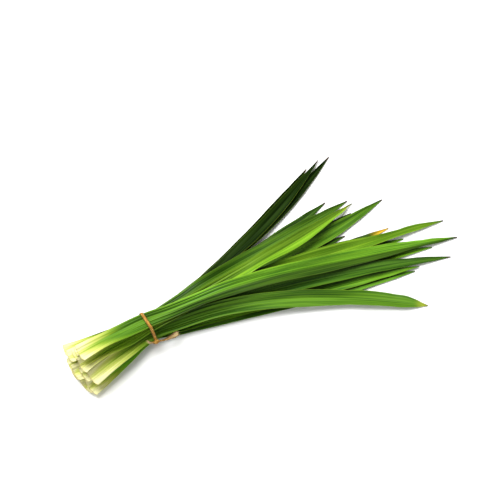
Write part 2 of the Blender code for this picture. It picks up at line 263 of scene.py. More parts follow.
def leaf_sections(node):
    """A CAD leaf's cross sections from the butt to the tip."""
    shell = bmesh.new()
    shell.from_mesh(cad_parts[node].data)
    bmesh.ops.remove_doubles(shell, verts=shell.verts, dist=SAME_POINT)
    butt = min(shell.verts, key=lambda v: v.co.x)
    tip = max(shell.verts, key=lambda v: v.co.x)
    along = (tip.co - butt.co).normalized()
    cap = {v for face in shell.faces if face.normal.dot(along) < BUTT_FACING for v in face.verts}
    sections, seen, ring = [], set(), cap
    while ring:
        if len(ring) < SECTION_POINTS:
            sections.append(narrowed(np.array([v.co[:] for v in ring]), sections[-1]))
        else:
            points = ring_order(list(ring), ring)
            if sections:
                points = matched(points, sections[-1])
            else:
                points = from_left_margin(points, np.array(along))
            sections.append(points)
        seen |= ring
        ring = {e.other_vert(v) for v in ring for e in v.link_edges} - seen
    shell.free()
    return np.array(sections)


# how finely a blade is drawn: its stations along it, and its places across each half
STATION_CUTS = (15, 18)
STATIONS = (STATION_CUTS[0] + 1) * (STATION_CUTS[1] + 1) + 1
HALF_CELLS = 14
SHARES = np.linspace(-1, 1, 2 * HALF_CELLS + 1)
POINTS_ROUND = 2 * len(SHARES) + 2


def smooth_through(rows, at, wanted):
    """Rows of points read at the wanted places from a smooth curve through them all."""
    slope = np.gradient(rows, at, axis=0)
    k = np.clip(np.searchsorted(at, wanted) - 1, 0, len(at) - 2)
    step = at[k + 1] - at[k]
    t = (wanted - at[k]) / step
    shape = (-1,) + (1,) * (rows.ndim - 1)
    t, step = t.reshape(shape), step.reshape(shape)
    return (
        (2 * t**3 - 3 * t**2 + 1) * rows[k]
        + (t**3 - 2 * t**2 + t) * step * slope[k]
        + (3 * t**2 - 2 * t**3) * rows[k + 1]
        + (t**3 - t**2) * step * slope[k + 1]
    )


def half_curve(margin, middle, keel, t):
    """A curve across half a blade, from its margin through the middle of that half to the keel."""
    t = t.reshape(1, -1, 1)
    curve = 2 * (t - 0.5) * (t - 1) * margin[:, None] - 4 * t * (t - 1) * middle[:, None]
    return curve + 2 * t * (t - 0.5) * keel[:, None]


def face_curve(five):
    """The whole width of one face of a blade at each station: two smooth halves that meet at the keel."""
    left = half_curve(five[:, 0], five[:, 1], five[:, 2], SHARES[: HALF_CELLS + 1] + 1)
    right = half_curve(five[:, 4], five[:, 3], five[:, 2], 1 - SHARES[HALF_CELLS:])
    return np.concatenate([left, right[:, 1:]], axis=1)


# the ripples that run along a blade, and its lengthwise pleats as (spacing, height) in mm
ANY_PHASE = (0, 6.28)
RIPPLE_PARTS = (1.0, 0.61, 0.37)
RIPPLE_EVENED = 1.6
RIPPLE = 0.14 * MM
RIPPLE_LENGTH = 46 * MM
RIGHT_LONGER = 1.13
RIGHT_DRAW = 50
TIP_RIPPLE = 0.5 * MM
TIP_RIPPLE_FROM = 0.72
TIP_RIPPLE_OVER = 0.2
TIP_STILL_OVER = 0.05
PLEATS = ((7.5, 0.20), (3.4, 0.09), (2.1, 0.035))
PLEAT_DRAW = 11
PLEATS_FROM_KEEL = 6
PLEATS_NARROW = 0.7

# the sharp creases that a leaf takes where the tie gathers it, and how far they run past it and back
TIE_X = 0.5 * (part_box("strip")[0].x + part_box("strip")[1].x)
CREASE_DRAW = 17
CREASE_SPANS = ((4, 6), (9, 11))
CREASE_SHARP = (0.75, 1)
CREASE_BESIDE = (0.3, 0.7)
CREASE_DEPTH = 1.1 * MM
CREASE_PAST = 130 * MM
CREASE_FOOT = 60 * MM


def waves(run, length, seed):
    """A slow uneven ripple along the blade, between about -1 and 1."""
    draw = random.Random(seed)
    total = np.zeros_like(run)
    for part in RIPPLE_PARTS:
        total += np.sin(run / (length * part) * 2 * math.pi + draw.uniform(*ANY_PHASE)) * part
    return total / RIPPLE_EVENED


def margin_ripple(run, number):
    """How far each place of a blade is rippled up or down, more at its margins and toward its point."""
    share_run = run / run[-1]
    toward_tip = np.clip((share_run - TIP_RIPPLE_FROM) / TIP_RIPPLE_OVER, 0, 1)
    at_tip = np.clip((1 - share_run) / TIP_STILL_OVER, 0, 1)
    size = RIPPLE + (TIP_RIPPLE - RIPPLE) * toward_tip * at_tip
    left = waves(run, RIPPLE_LENGTH, number) * size
    right = waves(run, RIPPLE_LENGTH * RIGHT_LONGER, number + RIGHT_DRAW) * size
    ripple = np.where(SHARES[None] < 0, left[:, None], right[:, None])
    return ripple[:, :, None] * np.abs(SHARES)[None, :, None] ** 2


def pleats(width, number):
    """The lengthwise pleats of a blade at each station and place across it, shallower where it narrows."""
    draw = random.Random(number * PLEAT_DRAW)
    widest = width.max()
    across = SHARES[None] * widest / 2
    total = np.zeros((len(width), len(SHARES)))
    for spacing, height in PLEATS:
        for sign in (-1, 1):
            phase = draw.uniform(*ANY_PHASE)
            on_half = SHARES[None] * sign >= 0
            total += on_half * height * MM * np.cos(across / (spacing * MM) * 2 * math.pi + phase)
    total *= np.clip(np.abs(SHARES[None]) * PLEATS_FROM_KEEL, 0, 1)
    return (total * (width / widest) ** PLEATS_NARROW)[:, :, None]


def creases(place_x, number):
    """How deep the sharp lengthwise creases are that a leaf takes where the tie gathers it, 0 to 1."""
    draw = random.Random(number * CREASE_DRAW)
    past = np.where(place_x > TIE_X, CREASE_PAST, CREASE_FOOT)
    gathered = np.exp(-(((place_x - TIE_X) / past) ** 2))
    total = np.zeros((len(place_x), len(SHARES)))
    for low, high in CREASE_SPANS:
        step = draw.randint(low, high)
        for side in (-1, 1):
            total[:, HALF_CELLS + side * step] += gathered * draw.uniform(*CREASE_SHARP)
            total[:, HALF_CELLS + side * step + 1] += gathered * draw.uniform(*CREASE_BESIDE)
            step = draw.randint(low, high)
    return np.clip(total, 0, 1)[:, :, None]


# where a margin is tucked in, how a point is torn or blunt, and the section points that follow a margin,
# as (left, right, how far they follow it)
TUCK_PLACE = 84 * MM
TUCK_REACH = 52 * MM
NICK_DEPTH = 0.62
NICK_EDGE = 2.2 * MM
BLUNT_PLACES = (0, 5, 12, 25, 46, 70, 95)
BLUNT_WIDER = (0, 0.7, 1.15, 1.1, 0.62, 0.28, 0)
MARGIN_POINTS = ((0, 4, 1.0), (9, 5, 1.0), (1, 3, 0.5), (8, 6, 0.5))


def drawn_in(fine, to_tip, leaf):
    """The sections with the left margin tucked in a little before the point, the right one torn off
    beside the point, or the point blunter, on the leaves where they are so."""
    across = fine[:, 4] - fine[:, 0]
    width = np.linalg.norm(across, axis=1, keepdims=True)
    near = np.clip(1 - np.abs(to_tip - TUCK_PLACE) / TUCK_REACH, 0, 1)[:, None]
    tucked = across / width * leaf.tuck * MM * near**2 * (3 - 2 * near)
    torn = np.clip((leaf.nick * MM - to_tip) / NICK_EDGE, 0, 1)[:, None]
    wider = across / 2 * np.interp(to_tip / MM, BLUNT_PLACES, BLUNT_WIDER)[:, None] * leaf.blunt
    moved = fine.copy()
    for left, right, follows in MARGIN_POINTS:
        moved[:, left] += (tucked - wider) * follows
        moved[:, right] += (wider - across / 2 * NICK_DEPTH * torn) * follows
    return moved


# a blade is thinner past the tie and toward its margins, which stand up there and at the foot, and the
# corners of its cut end are rounded back
BLADE_THINNED = 0.28
MARGIN_THINNED = 0.35
MARGIN_FROM = 0.55
TIE_CLEAR = 14 * MM
LIFT_OVER = 45 * MM
LIFT_CURVE = 1.3
FOOT_OVER = 30 * MM
FOOT_LIFT = 0.9
FOOT_PLEATS = 1.5
CORNER_PULL = 1.3 * MM
CORNER_STATIONS = 5
CORNER_CURVE = 5
EDGE_OUT = 0.4


def blade_surface(sections, leaf, number):
    """Points round the blade at each station, with the distance along it, its width and its creases."""
    keel = sections[:, 2]
    at = np.concatenate([[0], np.cumsum(np.linalg.norm(np.diff(keel, axis=0), axis=1))])
    run = np.linspace(0, at[-1], STATIONS)
    fine = drawn_in(smooth_through(sections, at, run), at[-1] - run, leaf)
    top = face_curve(fine[:, :TOP_POINTS])
    under = face_curve(fine[:, : TOP_POINTS - 1 : -1])

    across = fine[:, 4] - fine[:, 0]
    width = np.linalg.norm(across, axis=1, keepdims=True)
    across = across / width
    along = np.gradient(fine[:, 2], run, axis=0)
    up = np.cross(across, along)
    up /= np.linalg.norm(up, axis=1, keepdims=True)
    side = np.abs(SHARES)[None, :, None]
    place_x = fine[:, 2, 0]
    past_tie = np.clip((place_x - TIE_X - TIE_CLEAR) / LIFT_OVER, 0, 1)[:, None, None]
    foot = np.clip((TIE_X - TIE_CLEAR - place_x) / FOOT_OVER, 0, 1)[:, None, None]

    toward_margin = np.clip((side - MARGIN_FROM) / (1 - MARGIN_FROM), 0, 1)
    under = under + (top - under) * (BLADE_THINNED * past_tie + MARGIN_THINNED * toward_margin**2)

    stand = leaf.lift * MM * (past_tie + FOOT_LIFT * foot) * side**LIFT_CURVE * (width / width.max())[:, None]
    crease = creases(place_x, number)
    ribs = pleats(width, number) * (1 + FOOT_PLEATS * foot) - crease * CREASE_DEPTH
    lift = up[:, None] * (margin_ripple(run, number) + ribs + stand)
    top, under = top + lift, under + lift

    from_end = np.clip(1 - np.arange(STATIONS) / CORNER_STATIONS, 0, 1)[:, None, None]
    pull = CORNER_PULL * from_end * side**CORNER_CURVE
    course = along / np.linalg.norm(along, axis=1, keepdims=True)
    top, under = top + pull * course[:, None], under + pull * course[:, None]

    # each margin closes on one point beyond the two faces, and nothing reaches below the table
    ends = [0, -1]
    thick = np.linalg.norm(top[:, ends] - under[:, ends], axis=2)[..., None]
    edge = 0.5 * (top[:, ends] + under[:, ends]) + np.stack([-across, across], axis=1) * thick * EDGE_OUT
    skin = np.concatenate([top, edge[:, 1:], under[:, ::-1], edge[:, :1]], axis=1)
    skin[:, :, 2] = np.maximum(skin[:, :, 2], 0)
    return skin, run, width[:, 0], crease[:, :, 0]


CUT_RIM = 0.72
CUT_SINK = 0.3 * MM


def cut_face(skin):
    """The ring of points just inside the rim of the cut end, sunk a little into the foot as it dries."""
    rim, along = skin[0], skin[1] - skin[0]
    opposite = rim[::-1][np.arange(POINTS_ROUND) - 2]
    middle = 0.5 * (rim + opposite)
    along = along / np.linalg.norm(along, axis=1, keepdims=True)
    return middle + (rim - middle) * CUT_RIM + along * CUT_SINK


# how the leaves hide one another from the sky, looked for on a coarser net and then evened out; the blades'
# material paints shade from it
SHELTER_STEP = 3
SHELTER_RAYS = 16
SHELTER_START = 0.25 * MM
SHELTER_REACH = 12 * MM
SHELTER_EVENED = 5
SHELTER_ACROSS = (0.25, 0.5, 0.25)


def search_tree(skins):
    """All the blades' surfaces as one coarser net, in which a ray finds what it meets."""
    points, faces = [], []
    rows, sides = (STATIONS - 1) // 2, POINTS_ROUND // 2
    for skin in skins:
        first = len(points)
        for station in range(0, STATIONS - 1, 2):
            points.extend(skin[station, ::2])
        for row in range(rows - 1):
            for side in range(sides):
                corner, beside = first + row * sides + side, first + row * sides + (side + 1) % sides
                faces.append((corner, beside, beside + sides, corner + sides))
    return BVHTree.FromPolygons([tuple(point) for point in points], faces)


def occlusion_for_painted_shade(skin, crease, leaf_tree, number):
    """How much of the sky other leaves close to it hide from each place on a blade's top, 0 to 1, raised to
    its crease depth: how much shade is painted there.
    """
    stations = np.arange(0, STATIONS, SHELTER_STEP)
    shares = np.arange(0, len(SHARES), 2)
    draw = random.Random(number)
    found = np.zeros((len(stations), len(shares)))
    for i, station in enumerate(stations):
        for j, share in enumerate(shares):
            start = Vector(skin[station, share]) + Vector((0, 0, SHELTER_START))
            for _ in range(SHELTER_RAYS):
                turn, out = draw.uniform(0, 2 * math.pi), math.sqrt(draw.random())
                ray = Vector((math.cos(turn) * out, math.sin(turn) * out, math.sqrt(1 - out * out)))
                if leaf_tree.ray_cast(start, ray, SHELTER_REACH)[0] is not None:
                    found[i, j] += 1 / SHELTER_RAYS
    half = SHELTER_EVENED // 2
    padded = np.pad(found, ((half, half), (0, 0)), mode="edge")
    found = sum(padded[i : i + len(found)] for i in range(SHELTER_EVENED)) / SHELTER_EVENED
    padded = np.pad(found, ((0, 0), (1, 1)), mode="edge")
    near, own, far = SHELTER_ACROSS
    found = near * padded[:, :-2] + own * found + far * padded[:, 2:]
    found = np.array([np.interp(np.arange(len(SHARES)), shares, row) for row in found])
    found = np.array([np.interp(np.arange(STATIONS), stations, column) for column in found.T]).T
    # creases get painted shade as deep as the crease is
    found = np.maximum(found, crease)
    edge = np.zeros((STATIONS, 1))
    return np.concatenate([found, edge, np.zeros_like(found), edge], axis=1)


# a plain tube with a side for each point of a section, which every blade starts from
CAP_FACING = -0.5
CAP_INSET = 0.5
INSIDE_CAP = 0.9
bpy.ops.object.select_all(action="DESELECT")
bpy.ops.mesh.primitive_cylinder_add(vertices=POINTS_ROUND, radius=1, depth=1, end_fill_type="NGON")
blade_tube = bpy.context.active_object
blade_tube.name = "blade_tube"
bpy.context.tool_settings.mesh_select_mode = (False, True, False)
for cuts in STATION_CUTS:
    bpy.ops.object.mode_set(mode="EDIT")
    bpy.ops.mesh.select_all(action="DESELECT")
    bpy.ops.object.mode_set(mode="OBJECT")
    for edge in blade_tube.data.edges:
        low, high = (blade_tube.data.vertices[i].co.z for i in edge.vertices)
        edge.select = abs(low - high) > SAME_POINT
    bpy.ops.object.mode_set(mode="EDIT")
    bpy.ops.mesh.subdivide(number_cuts=cuts)
    bpy.ops.object.mode_set(mode="OBJECT")
for face in blade_tube.data.polygons:
    face.select = face.normal.z < CAP_FACING
bpy.context.tool_settings.mesh_select_mode = (False, False, True)
bpy.ops.object.mode_set(mode="EDIT")
bpy.ops.mesh.inset(thickness=CAP_INSET)
bpy.ops.object.mode_set(mode="OBJECT")

# the station and the side of the tube on which each of its points lies, and whether it is inside the cap
tube_points = np.empty(len(blade_tube.data.vertices) * 3)
blade_tube.data.vertices.foreach_get("co", tube_points)
tube_points = tube_points.reshape(-1, 3)
tube_turn = np.arctan2(-tube_points[:, 0], tube_points[:, 1]) / (2 * math.pi)
TUBE_STATION = np.rint((tube_points[:, 2] + 0.5) * (STATIONS - 1)).astype(int)
TUBE_SIDE = np.rint(tube_turn * POINTS_ROUND).astype(int) % POINTS_ROUND
TUBE_INSIDE = np.hypot(tube_points[:, 0], tube_points[:, 1]) < INSIDE_CAP

# how far from the midrib each side of a blade lies, and how much of it is on top
ROUND_SHARES = np.concatenate([SHARES, [1], SHARES[::-1], [-1]])
ROUND_TOP = np.concatenate([np.ones(len(SHARES)), [0.5], np.zeros(len(SHARES)), [0.5]])


def new_node(tree, kind, **settings):
    """A new shader node with its settings. The nodes stand in rows, in the order of their making."""
    row, column = divmod(len(tree.nodes), NODES_A_ROW)
    node = tree.nodes.new(kind)
    node.location = (column * NODE_WIDE, -row * NODE_TALL)
    for key, value in settings.items():
        setattr(node, key, value)
    return node


def carried(tree, name):
    """A vector that a mesh carries on its points, whole and as its three parts."""
    attribute = new_node(tree, "ShaderNodeAttribute", attribute_name=name)
    parts = new_node(tree, "ShaderNodeSeparateXYZ")
    tree.links.new(attribute.outputs["Vector"], parts.inputs[0])
    return attribute.outputs["Vector"], parts.outputs


def drawn_out_noise(tree, place, scale, offset, detail):
    """Noise that is drawn out along a surface, read at the place that a mesh carries."""
    stretch = new_node(tree, "ShaderNodeMapping")
    stretch.inputs["Scale"].default_value = scale
    stretch.inputs["Location"].default_value = offset
    tree.links.new(place, stretch.inputs[0])
    noise = new_node(tree, "ShaderNodeTexNoise")
    noise.inputs["Scale"].default_value = 1
    noise.inputs["Detail"].default_value = detail
    tree.links.new(stretch.outputs[0], noise.inputs["Vector"])
    return noise.outputs["Fac"]


def calc(tree, operation, *values, clamp=False):
    """A Math node whose inputs are numbers or other nodes' outputs."""
    node = new_node(tree, "ShaderNodeMath", operation=operation, use_clamp=clamp)
    for socket, value in zip(node.inputs, values):
        if isinstance(value, (int, float)):
            socket.default_value = value
        else:
            tree.links.new(value, socket)
    return node.outputs[0]


def mixed(tree, share, first, second, blend="MIX"):
    """A colour mix whose inputs are colours, numbers or other nodes' outputs."""
    node = new_node(tree, "ShaderNodeMix", data_type="RGBA", blend_type=blend)
    for name, value in ((0, share), (6, first), (7, second)):
        if isinstance(value, (int, float)):
            node.inputs[name].default_value = value
        elif isinstance(value, tuple):
            node.inputs[name].default_value = (*value, 1)
        else:
            tree.links.new(value, node.inputs[name])
    return node.outputs[2]


def ramp(tree, value, stops):
    """A colour ramp through (place, colour) stops."""
    node = new_node(tree, "ShaderNodeValToRGB")
    tree.links.new(value, node.inputs[0])
    bar = node.color_ramp
    for place, _ in stops[1:-1]:
        bar.elements.new(place)
    for element, (place, colour) in zip(bar.elements, stops):
        element.position = place
        element.color = (*colour, 1)
    return node.outputs[0]


def eased(tree, value, low, high, to_low=0.0, to_high=1.0):
    """A value carried smoothly from one range to another, held at its ends."""
    node = new_node(tree, "ShaderNodeMapRange", interpolation_type="SMOOTHSTEP")
    tree.links.new(value, node.inputs[0])
    for socket, number in zip(node.inputs[1:5], (low, high, to_low, to_high)):
        socket.default_value = number
    return node.outputs[0]


def bumped(tree, shader, height, strength, distance):
    """A fine relief on a surface from a height."""
    bump = new_node(tree, "ShaderNodeBump")
    bump.inputs["Strength"].default_value = strength
    bump.inputs["Distance"].default_value = distance
    tree.links.new(height, bump.inputs["Height"])
    tree.links.new(bump.outputs[0], shader.inputs["Normal"])


# greens from the deep one of the veins to the light one of the midrib, in long streaks and patches whose
# scales are per mm along and across the blade; ranges are (from, to, value at from, value at to)
BLADE_GREENS = {
    "leaf_dark": ((0.012, 0.042, 0.003), (0.052, 0.130, 0.008)),
    "leaf_mid": ((0.026, 0.082, 0.004), (0.098, 0.225, 0.011)),
    "leaf_bright": ((0.075, 0.180, 0.006), (0.175, 0.330, 0.016)),
}
LIME = (0.24, 0.36, 0.022)
STREAKS = (0.006, 0.62, 0)
STREAK_DETAIL = 3
STREAKS_APART = (7.3, 3.1, 1)
PATCHES = (0.009, 0.17, 0)
PATCH_DETAIL = 2
PATCHES_APART = (2.3, 5.7, 1)
TONES = (0.78, 1.20)
VEIN_SPACINGS = ((1.9, 0.6), (0.62, 0.4))
VEIN_DEEP = (-0.2, 1.0, 0.0, 0.34)
MIDRIB_LIGHT = (0.15, 0.75, 0.55, 0.0)
MARGIN_PAINTED_HIGHLIGHT = (0.94, 0.99, 0.0, 0.35)
# where the painted lighter and darker halves meet across the midrib, and over which mm from the butt they
# come in
HALVES_MEET = 0.12
HALVES_DIFFER = (90.0, 160.0)


def shaded(colour, shade):
    """A colour made darker or lighter."""
    return tuple(channel * shade for channel in colour)


def fine_veins(tree, from_keel):
    """The fine parallel veins of a blade, as a value that rises and falls across it."""
    sums = []
    for spacing, weight in VEIN_SPACINGS:
        turn = calc(tree, "MULTIPLY", from_keel, 2 * math.pi / spacing)
        sums.append(calc(tree, "MULTIPLY", calc(tree, "COSINE", turn), weight))
    return calc(tree, "ADD", *sums)


def blade_green(tree, dark, light, tone, vein, keel, side):
    """Green in streaks, deeper along the veins, with a light midrib and thin lime margins, a painted
    highlight where they catch the light.
    """
    green = mixed(tree, eased(tree, tone, *TONES), dark, light)
    green = mixed(tree, eased(tree, vein, *VEIN_DEEP), green, dark)
    green = mixed(tree, eased(tree, keel, *MIDRIB_LIGHT), green, light)
    return mixed(tree, eased(tree, side, *MARGIN_PAINTED_HIGHLIGHT), green, LIME)


def painted_lit_halves(tree, green, leaf, share, from_butt):
    """Painted light and shade: one half of a blade lighter than the other past the tie, where the halves face
    the light differently.
    """
    half = eased(tree, share, -HALVES_MEET, HALVES_MEET, leaf.left_bright, -leaf.left_bright)
    half = calc(tree, "MULTIPLY", half, eased(tree, from_butt, *HALVES_DIFFER))
    half = calc(tree, "ADD", half, 1.0)
    grey = new_node(tree, "ShaderNodeCombineColor")
    for socket in grey.inputs:
        tree.links.new(half, socket)
    return mixed(tree, 1.0, green, grey.outputs[0], "MULTIPLY")


# the pale foot, which grew inside the plant without light and turns green from its midrib and in streaks,
# and the underside, which is paler and duller than the top
CREAM = (0.69, 0.67, 0.33)
PALE_YELLOW = (0.52, 0.56, 0.12)
FOOT_STOPS = ((0.0, CREAM), (0.15, CREAM), (0.34, PALE_YELLOW), (0.62, LIME))
FOOT_ENDS = (0.45, 1.0)
PALE_STREAKS = 0.65
VALLEY_GREEN = 0.27
VALLEY_SIDE = (0.05, 0.7)
UNDERSIDE = (0.12, 0.20, 0.045)
UNDERSIDE_SHOWS = (0.3, 0.7, 0.55, 0.0)


def pale_foot(tree, green, light, leaf, streak, side, from_butt):
    """A blade's green with its pale foot below it, and how far the foot has turned green."""
    uneven = calc(tree, "MULTIPLY", calc(tree, "SUBTRACT", streak, 0.5), leaf.pale_reach * PALE_STREAKS)
    valley = eased(tree, side, *VALLEY_SIDE, leaf.pale_reach * VALLEY_GREEN, 0.0)
    reach = calc(tree, "ADD", calc(tree, "ADD", from_butt, uneven), valley)
    reach = calc(tree, "DIVIDE", reach, leaf.pale_reach, clamp=True)
    foot = ramp(tree, reach, [*FOOT_STOPS, (1.0, light)])
    footing = eased(tree, reach, *FOOT_ENDS)
    return mixed(tree, footing, foot, green), footing


# the point, which yellows and then dries brown from its very end, in mm
TIP_YELLOW = (0.80, 0.50, 0.03)
TIP_LIME = (0.36, 0.42, 0.035)
YELLOW_STREAKS = 10
YELLOW_FADES = 10.0
DRY_BROWN = (0.11, 0.065, 0.045)
DRY_STREAKS = 4
DRY_FROM = 1.0
DRY_FADES = 2.0


def aged_point(tree, colour, leaf, streak, from_tip):
    """A blade's colour with its point yellowed and dried, and how dry it is."""
    if leaf.yellow_tip:
        edge = calc(tree, "ADD", from_tip, calc(tree, "MULTIPLY", streak, YELLOW_STREAKS))
        yellow = eased(tree, edge, leaf.yellow_tip * 0.5, leaf.yellow_tip + YELLOW_FADES, 1.0, 0.0)
        colour = mixed(tree, yellow, colour, TIP_YELLOW if leaf.slot == "leaf_dark" else TIP_LIME)
    edge = calc(tree, "ADD", from_tip, calc(tree, "MULTIPLY", streak, DRY_STREAKS))
    dry = eased(tree, edge, leaf.dry_tip * 0.5 + DRY_FROM, leaf.dry_tip * 1.5 + DRY_FADES, 1.0, 0.0)
    return mixed(tree, dry, colour, DRY_BROWN), dry


# the cut end, with its open pores and a rim that has dried tan, in mm from the cut
PITH = (0.70, 0.64, 0.36)
PITH_PLACE = (-0.5, -0.1, 1.0, 0.0)
PORES_PER_M = 1500
PORES_OPEN = (0.50, 0.62, 0.0, 0.7)
PORE_TAN = (0.36, 0.29, 0.10)
RIM_PLACE = (0.1, 1.3, 0.6, 0.0)
RIM_INSIDE = (-0.6, 0.0)
RIM_TAN = (0.40, 0.30, 0.11)


def cut_end(tree, colour, from_butt):
    """A blade's colour with the pale pith of its cut end, its pores and its tan rim."""
    cut = eased(tree, from_butt, *PITH_PLACE)
    colour = mixed(tree, cut, colour, PITH)
    here = new_node(tree, "ShaderNodeTexCoord")
    pores = new_node(tree, "ShaderNodeTexNoise")
    pores.inputs["Scale"].default_value = PORES_PER_M
    pores.inputs["Detail"].default_value = 1
    tree.links.new(here.outputs["Object"], pores.inputs["Vector"])
    pore = eased(tree, pores.outputs["Fac"], *PORES_OPEN)
    colour = mixed(tree, calc(tree, "MULTIPLY", pore, cut), colour, PORE_TAN)
    rim = calc(tree, "MULTIPLY", eased(tree, from_butt, *RIM_PLACE), eased(tree, from_butt, *RIM_INSIDE))
    return mixed(tree, rim, colour, RIM_TAN)


# painted shade: dark green painted deep between the leaves and in their creases, where little light reaches,
# faint among the open feet; and how a blade shines
PAINTED_GAP_SHADE = (0.006, 0.022, 0.001)
PAINTED_GAP_SHADE_SPAN = (0.18, 0.72, 0.0, 0.92)
PAINTED_GAP_SHADE_FROM_BUTT = (55.0, 150.0, 0.06, 1.0)
GLOSS = (0.3, 0.7, 0.36, 0.50)
UNDERSIDE_DULLER = 0.25
DRY_DULLER = 0.3
FRESH_SPECULAR = 0.16
DARK_SPECULAR = 0.05
DARK_SHADE = 0.5
VEIN_DEPTH = 0.03
FIBRE_HEIGHT = 0.10
KEEL_SLOPE = 0.13


def blade_material(leaf, number):
    """A fresh pandan blade: cream at its foot, then lime and green, with fine veins all along it."""
    material, tree, shader = new_material(f"fresh_blade_{number:02d}")
    place, (from_butt, from_keel, from_tip) = carried(tree, "blade_place")
    _, (share, on_top, painted_shade_cover) = carried(tree, "blade_face")
    streak_start = [number * apart for apart in STREAKS_APART]
    streak = drawn_out_noise(tree, place, STREAKS, streak_start, STREAK_DETAIL)
    patch_start = [number * apart for apart in PATCHES_APART]
    patch = drawn_out_noise(tree, place, PATCHES, patch_start, PATCH_DETAIL)
    vein = fine_veins(tree, from_keel)
    keel = calc(tree, "ABSOLUTE", from_keel)
    side = calc(tree, "ABSOLUTE", share)

    dark, light = (shaded(green, leaf.shade) for green in BLADE_GREENS[leaf.slot])
    tone = calc(tree, "ADD", streak, patch)
    green = blade_green(tree, dark, light, tone, vein, keel, side)
    if leaf.left_bright:
        green = painted_lit_halves(tree, green, leaf, share, from_butt)
    colour, footing = pale_foot(tree, green, light, leaf, streak, side, from_butt)
    below = eased(tree, on_top, *UNDERSIDE_SHOWS)
    colour = mixed(tree, below, colour, mixed(tree, footing, PALE_YELLOW, UNDERSIDE))
    colour, dry = aged_point(tree, colour, leaf, streak, from_tip)
    colour = cut_end(tree, colour, from_butt)
    # painted shade: dark green where other leaves hide the sky, fainter toward the cut end
    painted_gap_shade = calc(tree, "MULTIPLY", eased(tree, painted_shade_cover, *PAINTED_GAP_SHADE_SPAN), eased(tree, from_butt, *PAINTED_GAP_SHADE_FROM_BUTT))
    tree.links.new(mixed(tree, painted_gap_shade, colour, PAINTED_GAP_SHADE), shader.inputs["Base Color"])

    rough = eased(tree, streak, *GLOSS)
    rough = calc(tree, "ADD", rough, calc(tree, "MULTIPLY", below, UNDERSIDE_DULLER))
    rough = calc(tree, "ADD", rough, calc(tree, "MULTIPLY", dry, DRY_DULLER), clamp=True)
    tree.links.new(rough, shader.inputs["Roughness"])
    specular = FRESH_SPECULAR if leaf.shade > DARK_SHADE else DARK_SPECULAR
    shader.inputs["Specular IOR Level"].default_value = specular
    grooves = calc(tree, "MULTIPLY", vein, -VEIN_DEPTH)
    fibres = calc(tree, "MULTIPLY", streak, FIBRE_HEIGHT)
    valley = calc(tree, "MULTIPLY", keel, KEEL_SLOPE)
    height = calc(tree, "ADD", calc(tree, "ADD", grooves, fibres), valley)
    bumped(tree, shader, height, strength=1.0, distance=MM)
    return material


def carry(mesh, name, values):
    """Stores a vector on each point of a mesh for its material."""
    layer = mesh.attributes.new(name, "FLOAT_VECTOR", "POINT")
    layer.data.foreach_set("vector", np.ascontiguousarray(values, dtype=np.float32).ravel())


# all the blades' surfaces come first, because the shade painted on each blade from the leaves over it depends
# on the others
SMOOTH_UNDER = math.radians(50)
surfaces = {}
for number, (node, leaf) in enumerate(LEAVES.items(), start=1):
    surfaces[number] = blade_surface(leaf_sections(node), leaf, number)
leaf_tree = search_tree([skin for skin, *_ in surfaces.values()])

for number, (node, leaf) in enumerate(LEAVES.items(), start=1):
    skin, run, width, crease = surfaces[number]
    bpy.ops.object.select_all(action="DESELECT")
    blade_tube.select_set(True)
    bpy.context.view_layer.objects.active = blade_tube
    bpy.ops.object.duplicate()
    blade = bpy.context.active_object
    blade.name = f"blade_{number:02d}"
    blade.data.name = blade.name
    place = skin[TUBE_STATION, TUBE_SIDE]
    place[TUBE_INSIDE] = cut_face(skin)[TUBE_SIDE[TUBE_INSIDE]]
    blade.data.vertices.foreach_set("co", place.ravel())
    along_mm = np.where(TUBE_INSIDE, -1, run[TUBE_STATION] / MM)
    share = ROUND_SHARES[TUBE_SIDE]
    across_mm = share * width.max() / 2 / MM
    # how much shade the material paints at each point, from the leaves over it and from its creases
    painted_shade_cover = occlusion_for_painted_shade(skin, crease, leaf_tree, number)[TUBE_STATION, TUBE_SIDE]
    carry(blade.data, "blade_place", np.stack([along_mm, across_mm, run[-1] / MM - along_mm], axis=1))
    carry(blade.data, "blade_face", np.stack([share, ROUND_TOP[TUBE_SIDE], painted_shade_cover], axis=1))
    bpy.ops.object.shade_smooth_by_angle(angle=SMOOTH_UNDER)
    blade.data.materials.clear()
    blade.data.materials.append(blade_material(leaf, number))
    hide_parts(node)
    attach(blade, "root")

bpy.data.objects.remove(blade_tube)


# The tie. A strip of dried leaf, wetted, passed once round the leaves near their cut ends and knotted at
# the near side, with its two ends left loose. It dries stiff, ridged along its fibres, and its cut ends
# fray into single pale fibres.
TIE_VOXEL = 0.28 * MM
TIE_SMOOTHING = 4
TIE_X0 = -147.85 * MM
TIE_LEAN = 3.5 * MM
TIE_HALF_WIDTH = 2.5 * MM
TIE_NEAR = -37.5 * MM
TIE_FAR = -1.0 * MM
strip_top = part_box("strip")[1].z
middle_y, middle_z = 0.5 * (TIE_NEAR + TIE_FAR), 0.5 * strip_top
knot = Vector((TIE_X0 + TIE_LEAN, TIE_NEAR, middle_z))

bpy.ops.object.select_all(action="DESELECT")
tie = bpy.data.objects.new("tie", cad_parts["strip"].data.copy())
bpy.context.collection.objects.link(tie)
tie.data.name = "tie"
tie.select_set(True)
bpy.context.view_layer.objects.active = tie
bpy.ops.object.mode_set(mode="EDIT")
bpy.ops.mesh.select_all(action="SELECT")
bpy.ops.mesh.remove_doubles(threshold=SAME_POINT)
bpy.ops.object.mode_set(mode="OBJECT")
tie.data.remesh_voxel_size = TIE_VOXEL
bpy.ops.object.voxel_remesh()
bpy.ops.object.modifier_add(type="SMOOTH")
tie.modifiers[-1].iterations = TIE_SMOOTHING
bpy.ops.object.modifier_apply(modifier=tie.modifiers[-1].name)

points = np.empty(len(tie.data.vertices) * 3)
normals = np.empty_like(points)
tie.data.vertices.foreach_get("co", points)
tie.data.vertices.foreach_get("normal", normals)
points, normals = points.reshape(-1, 3), normals.reshape(-1, 3)

